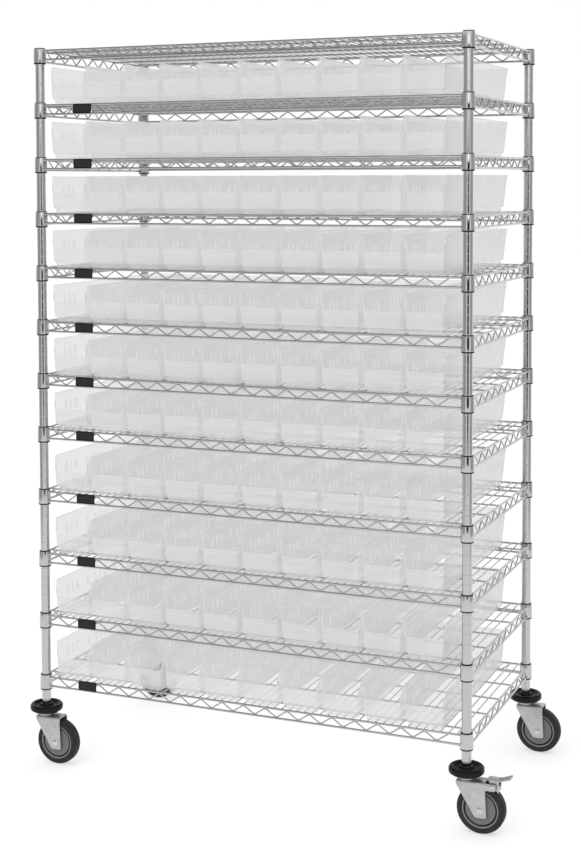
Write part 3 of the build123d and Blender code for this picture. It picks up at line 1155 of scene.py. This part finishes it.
@dataclass
class SwivelCasters:
    """Four casters with stems, bumpers, forks, axle bolts, wheels and two brake pedals.

    A caster stands on the floor with its stem about Z, and its wheel trails towards +X.
    """

    layout: Layout
    segments: int = 56
    # Names of a caster without a pedal and of one with it
    kinds: tuple[str, str] = ("plain", "braked")
    # Stem: kingpin and its flange below the swivel disc, and the plug above it
    kingpin_bottom: float = 129.2
    kingpin_radius: float = 8.0
    flange_top: float = 132.7
    flange_radius: float = 12.0
    disc_bottom: float = 137.3
    disc_top: float = 146.0
    disc_radius: float = 26.0
    # Bevels of the disc's lower and upper race: how far in and how high
    race_low: Pair = (3.0, 2.6)
    race_high: Pair = (4.0, 2.0)
    plug_radius: float = 10.9
    plug_length: float = 70.0
    stem_segments: int = 40
    # Bumper: its bore, the floor of the socket that takes the post's end, and its points from the
    # foot out and round to the socket, as radius, rise over the disc, and radius of the corner
    bumper_bore: float = 11.1
    bumper_floor: float = 4.0
    bumper_form: tuple[Triple, ...] = (
        (37.0, 0.0, 3.0), (46.0, 6.0, 5.0), (46.0, 17.0, 5.0), (42.0, 22.0, 3.0),
        (36.0, 22.0, 2.5), (32.0, 15.5, 4.0), (18.9, 15.0, 3.0), (17.4, 22.0, 1.2),
        (12.9, 22.0, 0.5))
    # Fork: its crown, its legs, and the longer crown that carries a pedal
    fork_half: float = 22.0
    fork_plate: float = 3.0
    fork_bend: float = 7.0
    fork_edge: float = 0.7
    crown_top: float = 137.0
    crown: float = 4.0
    crown_front: float = -22.0
    crown_rear: float = 54.0
    crown_skirt: float = 126.0
    leg_front: float = 28.0
    leg_rear: float = 58.0
    leg_bottom: float = 45.0
    brake_rear: float = 82.0
    brake_bottom: float = 118.0
    brake_heel: float = 54.5
    # Cutters of the fork: how far they reach along X, below the floor, and round the pedal's slot
    cutter_reach: float = 200.0
    cutter_foot: float = -20.0
    slot_bottom: float = 60.0
    slot_rear: float = 120.0
    # Axle bolt and pedal pin: radius of the shank and of the head
    trail: float = 40.0
    axle: Pair = (5.0, 7.5)
    pivot_reach: float = 72.0
    pivot_height: float = 129.0
    pin: Pair = (3.0, 5.0)
    bolt_segments: int = 32
    bolt_tail: float = 5.0
    bolt_tip: float = 1.0
    bolt_tip_share: float = 0.9
    washer: float = 1.2
    # Points of a bolt head: share of its radius, height over the cheek, and radius of the corner
    head_form: tuple[Triple, ...] = ((0.8, 3.2, 1.5), (0.35, 4.2, 1.0), (0.3, 3.2, 0.5))
    # Rings of a nut: height off the cheek, and share of its size, which is a share of the head's
    nut_form: tuple[Pair, ...] = ((3.8, 0.9), (3.2, 1.0), (0.2, 1.0), (0.0, 0.97))
    nut_size: float = 1.1
    nut_sides: int = 6
    # Wheel core: half widths of its rim and its hub, and its ring groove
    core_half: float = 14.0
    core_radius: float = 47.8
    core_sink: float = 1.5
    core_bore: float = 5.2
    hub_radius: float = 15.0
    hub_half: float = 17.5
    groove_depth: float = 5.0
    groove_inner: float = 40.0
    groove_outer: float = 44.4
    # Faces of the groove take the tread's dark finish as painted shade from this far below the
    # disc's face and inside its inner edge
    groove_lip: float = 0.5
    groove_slack: float = 0.1
    # Bead beside the tread: rise over the rim at its inner and outer edge, and radius of the corner
    bead_inner: float = 0.5
    bead_outer: float = 1.2
    bead_round: float = 0.9
    # Tread: points of a flank as radius, distance in from its widest, and radius of the corner
    wheel_radius: float = 63.5
    tyre_half: float = 16.0
    tyre_segments: int = 72
    flank: tuple[Triple, ...] = (
        (48.0, 1.6, 0.6), (51.5, 0.4, 1.0), (57.0, 0.0, 2.0), (57.8, 0.5, 0.2), (58.6, 0.2, 0.4),
        (62.3, 4.2, 3.0), (63.5, 8.0, 3.0))
    # Pedal: stations of its plate as distance from the stem, rise of the tip, and half width
    pedal_bottom: float = 141.5
    pedal_plate: float = 3.5
    pedal_stations: tuple[Triple, ...] = (
        (58.0, 0.0, 12.5), (60.0, 0.0, 13.6), (76.0, 0.0, 13.8), (88.0, 0.2, 14.0),
        (95.0, 1.6, 14.4), (103.0, 4.6, 15.4), (111.0, 7.6, 16.4), (116.0, 8.9, 16.0),
        (118.6, 9.1, 13.0))
    pedal_foot: float = 1.4
    pedal_head: float = 1.6
    # Ribs of the plate: places along Y, and the first and past the last of the stations they cross
    pedal_ribs: Triple = (-7.0, 0.0, 7.0)
    pedal_rib_span: tuple[int, int] = (3, 8)
    pedal_rib_radius: float = 0.9
    pedal_rib_sides: int = 8
    # Lugs and shoe of the pedal: side outlines with the radius of each corner, and places along Y
    lug: tuple[Triple, ...] = (
        (63.5, 142.5, 0), (63.5, 125.8, 3.0), (80.0, 119.5, 2.5), (88.0, 112.2, 1.0),
        (88.0, 142.5, 0))
    lug_sides: tuple[Pair, ...] = ((-14.0, -10.8), (10.8, 14.0))
    shoe: tuple[Triple, ...] = (
        (79.8, 126.0, 1.0), (80.0, 119.2, 1.5), (87.9, 112.4, 1.5), (87.9, 126.0, 1.0))
    shoe_half: float = 11.0

    def stem(self) -> Shape:
        """Draw the kingpin with its flange, the swivel disc with rolled races, and the plug.

        Returns:
            The stem about Z.
        """
        low, top, outer = self.disc_bottom, self.disc_top, self.disc_radius
        return Shape().lathe(rounded([
            (AXIS, self.kingpin_bottom, 0), (self.flange_radius, self.kingpin_bottom, 1.2),
            (self.flange_radius, self.flange_top, 0.3), (self.kingpin_radius, self.flange_top, 0),
            (self.kingpin_radius, low, 0), (outer - self.race_low[0], low, 1.0),
            (outer, low + self.race_low[1], 1.2), (outer, top - self.race_high[1], 1.5),
            (outer - self.race_high[0], top, 1.0), (self.plug_radius, top, 0.3),
            (self.plug_radius, top + self.plug_length, 1.5), (AXIS, top + self.plug_length, 0),
        ], steps=3), self.stem_segments)

    def bumper(self) -> Shape:
        """Draw a dished bumper with a rounded tyre-like edge and a hub.

        Returns:
            The bumper about Z.
        """
        low, floor = self.disc_top, self.disc_top + self.bumper_floor
        form = [(radius, low + rise, corner) for radius, rise, corner in self.bumper_form]
        return Shape().lathe(rounded([
            (self.bumper_bore, low, 0), *form, (form[-1][0], floor, 0),
            (self.bumper_bore, floor, 0),
        ], steps=4), self.segments)

    def fork_outline(self, braked: bool) -> list[Pair]:
        """Draw the side of a fork.

        Args:
            braked: whether the cheeks reach back to carry a pedal.

        Returns:
            Outline with rounded corners, as (x, z) points.
        """
        rear = [(self.crown_rear, self.crown_top, 3.0)]
        if braked:
            rear = [(self.brake_rear, self.crown_top, 2.0),
                    (self.brake_rear, self.brake_bottom, 5.0),
                    (self.brake_heel, self.brake_bottom, 4.0)]
        return rounded([
            (self.crown_front, self.crown_top, 5.0), *rear, (self.leg_rear, self.leg_bottom, 7.0),
            (self.leg_front, self.leg_bottom, 9.0), (self.crown_front, self.crown_skirt, 9.0),
        ], steps=5)

    def fork(self, braked: bool) -> bpy.types.Mesh:
        """Press a fork: a bent crown with a cheek on each side of the wheel.

        Args:
            braked: whether the cheeks reach back to carry a pedal.

        Returns:
            The mesh of the fork.
        """
        half, gap = self.fork_half, self.fork_half - self.fork_plate
        bend, reach, top = self.fork_bend, self.cutter_reach, self.crown_top
        outside = section(half, 0, top, 0, bend, steps=5)
        inside = section(gap, self.cutter_foot, top - self.crown, 0, bend - self.fork_plate,
                         steps=5)
        cuts = [("INTERSECT", Shape().bar(outside, -reach, reach)),
                ("DIFFERENCE", Shape().bar(inside, -reach, reach))]
        if braked:
            front, rear, low = self.crown_rear, self.slot_rear, self.slot_bottom
            slot = [(front, low), (rear, low), (rear, reach), (front, reach)]
            cuts.append(("DIFFERENCE", Shape().slab(slot, -gap, gap)))
        side = Shape().slab(self.fork_outline(braked), -2 * half, 2 * half)
        return carved(f"pressed_fork_{self.kinds[braked]}", side, cuts, self.fork_edge)

    def bolt(self, radius: float, head: float) -> Shape:
        """Draw a bolt through both cheeks, with a domed head, a washer and a nut.

        Args:
            radius: radius of its shank.
            head: radius of its head.

        Returns:
            The bolt about Z, with its head up.
        """
        face = self.fork_half
        tail = -face - self.bolt_tail
        dome = [(head * share, face + rise, corner) for share, rise, corner in self.head_form]
        brim = head + self.washer
        shape = Shape().lathe(rounded([
            (AXIS, tail, 0), (radius * self.bolt_tip_share, tail, 0.6),
            (radius, tail + self.bolt_tip, 0), (radius, face, 0), (brim, face, 0.3),
            (brim, face + 1.0, 0.4), (head, face + self.washer, 0.3), *dome,
            (AXIS, dome[-1][1], 0),
        ], steps=2), self.bolt_segments)
        nut = []
        for off, share in self.nut_form:
            spoke = Vector((head * self.nut_size * share, 0, -face - off))
            turns = (math.tau * side / self.nut_sides for side in range(self.nut_sides))
            nut.append([Matrix.Rotation(turn, 3, "Z") @ spoke for turn in turns])
        return shape.loft(nut)

    def axle_set(self, braked: bool) -> Shape:
        """Draw the axle bolt, with its head in front, and the pedal's pin where there is one.

        Args:
            braked: whether the caster has a pedal.

        Returns:
            The bolts in their places.
        """
        shape = Shape()
        spots = [(self.trail, self.wheel_radius, self.axle)]
        if braked:
            spots.append((self.pivot_reach, self.pivot_height, self.pin))
        for x, z, radii in spots:
            place = Matrix.Translation((x, 0, z)) @ Matrix.Rotation(math.pi / 2, 4, "X")
            shape.merge(self.bolt(*radii), place)
        return shape

    def core(self) -> Shape:
        """Draw a wheel core: a disc with a hub, a ring groove darkened as painted shade and a bead
        by the tread paler as a painted highlight.

        Returns:
            The core about Z.
        """
        half, hub = self.core_half, self.hub_radius
        inner, outer = self.groove_inner, self.groove_outer
        face, groove = half - self.core_sink, half - self.groove_depth
        shape = Shape().lathe(rounded(both_faces([
            (self.core_bore, self.hub_half, 0.5), (hub - 2, self.hub_half, 1.0),
            (hub, face + 1.0, 1.5), (hub + 4, face, 2.0), (inner - 1.0, face, 1.0),
            (inner, face - 1.2, 0.5), (inner + 0.3, groove, 0.3), (outer, groove, 0.3),
        ]), steps=3), self.segments)
        # The groove's faces take the tread's dark finish, painted shade in the deep groove
        for number, corners in enumerate(shape.faces):
            points = [shape.points[i] for i in corners]
            sunk = max(abs(p.z) for p in points) < face - self.groove_lip
            if sunk and min(p.xy.length for p in points) > inner - self.groove_slack:
                shape.marks[number] = CORE_FINISHES.index(TREAD_AND_GROOVE_SHADE)
        # The bead takes the paler finish, a painted highlight
        bead = both_faces([(outer, half + self.bead_inner, self.bead_round),
                           (self.core_radius, half + self.bead_outer, self.bead_round)])
        return shape.lathe(rounded(bead, steps=3), self.segments, CORE_FINISHES.index(CORE_BEAD_HIGHLIGHT))

    def tyre(self) -> Shape:
        """Tread about Z, with rounded shoulders and a fine parting line on each flank."""
        flank = [(r, self.tyre_half - inset, corner) for r, inset, corner in self.flank]
        return Shape().lathe(rounded(both_faces(flank), steps=3), self.tyre_segments)

    def pedal(self) -> Shape:
        """Draw a foot pedal: a ribbed plate with a flared tip, its pivot lugs and its shoe.

        Returns:
            The pedal in its place on the caster.
        """
        half = self.pedal_plate / 2
        base = self.pedal_bottom + half
        rings = []
        for x, rise, width in self.pedal_stations:
            ring = section(width, -half, half, self.pedal_foot, self.pedal_head, steps=3)
            rings.append([Vector((x, y, base + rise + z)) for y, z in ring])
        shape = Shape().loft(rings)
        ribbed = self.pedal_stations[slice(*self.pedal_rib_span)]
        for y in self.pedal_ribs:
            path = [Vector((x, y, base + rise + half)) for x, rise, _ in ribbed]
            shape.wire(path, self.pedal_rib_radius, self.pedal_rib_sides)
        for low, high in self.lug_sides:
            shape.slab(rounded(self.lug, steps=4), low, high)
        return shape.slab(rounded(self.shoe, steps=3), -self.shoe_half, self.shoe_half)

    def build(self, bench: Bench) -> None:
        """Make the four casters.

        Args:
            bench: bench that installs them.
        """
        stem, stems = self.stem(), Shape()
        bumper, bumpers = self.bumper(), Shape()
        core = self.core().mesh("moulded_wheel_core")
        tyre = self.tyre().mesh("wheel_tread", crease=ROUND_CREASE)
        forks = {braked: self.fork(braked) for braked in (False, True)}
        axles = {braked: self.axle_set(braked).mesh(f"axle_bolt_{self.kinds[braked]}")
                 for braked in forks}
        pedal = self.pedal().mesh("foot_pedal")
        wheel_turn = Matrix.Rotation(math.pi / 2, 4, "X")
        for corner in Corner:
            spot = self.layout.corner(corner)
            stems.merge(stem, Matrix.Translation(spot))
            bumpers.merge(bumper, Matrix.Translation(spot))
            place = self.layout.at(spot)
            hub = self.layout.at(spot + Vector((self.trail, 0, self.wheel_radius))) @ wheel_turn
            pieces = [
                ("pressed_fork", forks[corner.braked], "fork", [ZINC], place),
                ("axle_bolt", axles[corner.braked], "axle", [BRIGHT_BOLT], place),
                ("moulded_wheel_core", core, "wheel_core", CORE_FINISHES, hub),
                ("wheel_tread", tyre, "tyre", [TREAD_AND_GROOVE_SHADE], hub),
            ]
            if corner.braked:
                pieces.append(("foot_pedal", pedal, "brake_pedal", [ZINC], place))
            for name, mesh, node, finishes, where in pieces:
                bench.install(f"{name}_{corner.value}", mesh, f"{node}_{corner.value}", finishes,
                              where)
        bench.install("swivel_stems", stems.mesh("swivel_stems"), "caster_stems", [ZINC])
        bench.install("donut_bumpers", bumpers.mesh("donut_bumpers"), "caster_bumpers",
                      [BUMPER_RUBBER])


@dataclass(frozen=True)
class Card:
    """Card that stands round the set and that only mirrors see.

    Its azimuth is in degrees from the front round by the right, its elevation in degrees above
    the unit's middle, and its size and its distance from that middle in metres.
    """

    title: str
    azimuth: float
    elevation: float
    size: Pair
    colour: str
    distance: float
    glow: float = 1.0


# Cards that give chrome its bands: a white strip, dark ones and grey ones
CARDS = (
    Card("white_strip", 25.0, 18.0, (1.6, 1.2), "FFFFFF", distance=4.7, glow=2.0),
    Card("dark_card_behind_camera", 26.0, 2.0, (2.9, 1.9), "0C0C0C", distance=4.7),
    Card("grey_card_left", -48.0, 6.0, (4.8, 3.0), "B8B8B8", distance=3.4),
    Card("grey_card_right", 97.0, 6.0, (4.2, 3.0), "BEBEBE", distance=3.4),
    Card("dark_ceiling", 0.0, 90.0, (5.0, 5.0), "585858", distance=2.6),
)


@dataclass
class Studio:
    """White floor and surround, soft light, cards beside the set, and the camera.

    The camera's place is in millimetres, other lengths are in metres and angles in degrees.
    """

    camera_spot: Triple = (1710.3, -4037.6, 1656.9)
    yaw: float = 22.829
    pitch: float = -2.856
    roll: float = -0.155
    lens: float = 64.95
    shift_y: float = -0.1975
    view_depth: float = 200.0
    floor_side: float = 60.0
    floor_drop: float = 0.0004
    floor_colour: str = "FBFBFB"
    floor_veil: float = 0.55
    white: str = "FFFFFF"
    middle_height: float = 1.0
    sun_strength: float = 0.7
    sun_spread: float = 50.0
    sun_turn: Triple = (38.0, -12.0, 6.0)

    def camera(self) -> None:
        """Set the camera at the photograph's angle."""
        data = bpy.data.cameras.new("photo_camera")
        data.lens = self.lens
        data.shift_y = self.shift_y
        data.clip_end = self.view_depth
        camera = bpy.data.objects.new("photo_camera", data)
        camera.location = Vector(self.camera_spot) * MM
        turn = Matrix.Rotation(math.radians(self.yaw), 3, "Z")
        turn @= Matrix.Rotation(math.radians(90 + self.pitch), 3, "X")
        turn @= Matrix.Rotation(math.radians(self.roll), 3, "Z")
        camera.rotation_euler = turn.to_euler()
        bpy.context.scene.collection.objects.link(camera)
        bpy.context.scene.camera = camera

    @staticmethod
    def sheet(
        name: str, size: Pair, place: Matrix, material: bpy.types.Material
    ) -> bpy.types.Object:
        """Add a flat sheet of the stage.

        Args:
            name: name of the sheet.
            size: its width and height in metres.
            place: where its middle goes, facing its own Z.
            material: its material.

        Returns:
            The sheet.
        """
        w, h = size[0] / 2, size[1] / 2
        mesh = bpy.data.meshes.new(name)
        mesh.from_pydata([(-w, -h, 0), (w, -h, 0), (w, h, 0), (-w, h, 0)], [], [(0, 1, 2, 3)])
        mesh.materials.append(material)
        made = bpy.data.objects.new(name, mesh)
        made.matrix_world = place
        bpy.context.scene.collection.objects.link(made)
        return made

    @staticmethod
    def seen(tree: bpy.types.NodeTree) -> bpy.types.NodeSocket:
        """Find where the eye looks, straight, in mirrors or through glass.

        Args:
            tree: node tree that gets the nodes.

        Returns:
            Socket that is 1 on such a ray and 0 on others.
        """
        rays = add_node(tree, "ShaderNodeLightPath").outputs
        direct = add_node(tree, "ShaderNodeMath", {"operation": "MAXIMUM"}, {
            0: rays["Is Camera Ray"], 1: rays["Is Glossy Ray"]}).outputs[0]
        return add_node(tree, "ShaderNodeMath", {"operation": "MAXIMUM"}, {
            0: direct, 1: rays["Is Transmission Ray"]}).outputs[0]

    def floor(self) -> None:
        """Lay the pale floor: the eye sees it half as white paper and half with a shadow."""
        made = bare_material("white_paper_sweep")
        tree = made.node_tree
        paper = add_node(tree, "ShaderNodeBsdfDiffuse", inputs={
            "Color": to_linear(self.floor_colour)})
        white = add_node(tree, "ShaderNodeEmission", inputs={
            "Color": to_linear(self.white), "Strength": 1.0})
        veil = add_node(tree, "ShaderNodeMath", {"operation": "MULTIPLY"}, {
            0: self.seen(tree), 1: self.floor_veil}).outputs[0]
        mixed = add_node(tree, "ShaderNodeMixShader", inputs={
            0: veil, 1: paper.outputs["BSDF"], 2: white.outputs["Emission"]})
        add_node(tree, "ShaderNodeOutputMaterial", inputs={"Surface": mixed.outputs["Shader"]})
        place = Matrix.Translation((0, 0, -self.floor_drop))
        self.sheet("studio_floor", (self.floor_side, self.floor_side), place, made)

    def surround(self) -> None:
        """Make the world an even white, which lights the unit and stands behind it."""
        world = bpy.data.worlds.new("white_surround")
        bpy.context.scene.world = world
        world.use_nodes = True
        tree = world.node_tree
        tree.nodes.clear()
        sky = add_node(tree, "ShaderNodeBackground", inputs={
            "Color": to_linear(self.white), "Strength": 1.0})
        add_node(tree, "ShaderNodeOutputWorld", inputs={"Surface": sky.outputs["Background"]})

    def stand(self, card: Card) -> None:
        """Stand a card in its place, facing the unit's middle.

        Args:
            card: card to stand.
        """
        made = bare_material(f"{card.title}_cloth")
        tree = made.node_tree
        cloth = add_node(tree, "ShaderNodeEmission", inputs={
            "Color": to_linear(card.colour), "Strength": card.glow})
        add_node(tree, "ShaderNodeOutputMaterial", inputs={"Surface": cloth.outputs["Emission"]})
        place = Matrix.Translation((0, 0, self.middle_height))
        place @= Matrix.Rotation(math.radians(card.azimuth), 4, "Z")
        place @= Matrix.Rotation(math.radians(90 - card.elevation), 4, "X")
        place @= Matrix.Translation((0, 0, card.distance))
        sheet = self.sheet(card.title, card.size, place, made)
        sheet.visible_camera = False
        sheet.visible_diffuse = False
        sheet.visible_shadow = False
        sheet.visible_transmission = False

    def key(self) -> None:
        """Hang one broad soft light over the front left."""
        data = bpy.data.lights.new("broad_key", "SUN")
        data.energy = self.sun_strength
        data.angle = math.radians(self.sun_spread)
        key = bpy.data.objects.new("broad_key", data)
        key.rotation_euler = [math.radians(angle) for angle in self.sun_turn]
        key.visible_glossy = False
        bpy.context.scene.collection.objects.link(key)

    def build(self) -> None:
        """Set the whole stage."""
        bpy.context.scene.view_settings.view_transform = "Standard"
        self.camera()
        self.floor()
        self.surround()
        for card in CARDS:
            self.stand(card)
        self.key()


def main() -> None:
    """Build the unit and its stage, and log how many pieces were made."""
    logging.basicConfig(level=logging.INFO, format="%(name)s: %(message)s")
    layout = Layout()
    bench = Bench()
    for part in (GroovedPosts(layout), WireShelf(layout), SplitSleeves(layout), NamePlates(layout),
                 HopperBin(layout), SwivelCasters(layout)):
        part.build(bench)
    Studio().build()
    LOG.info("%d pieces made", len(bench.made))


if __name__ == "__main__":
    main()
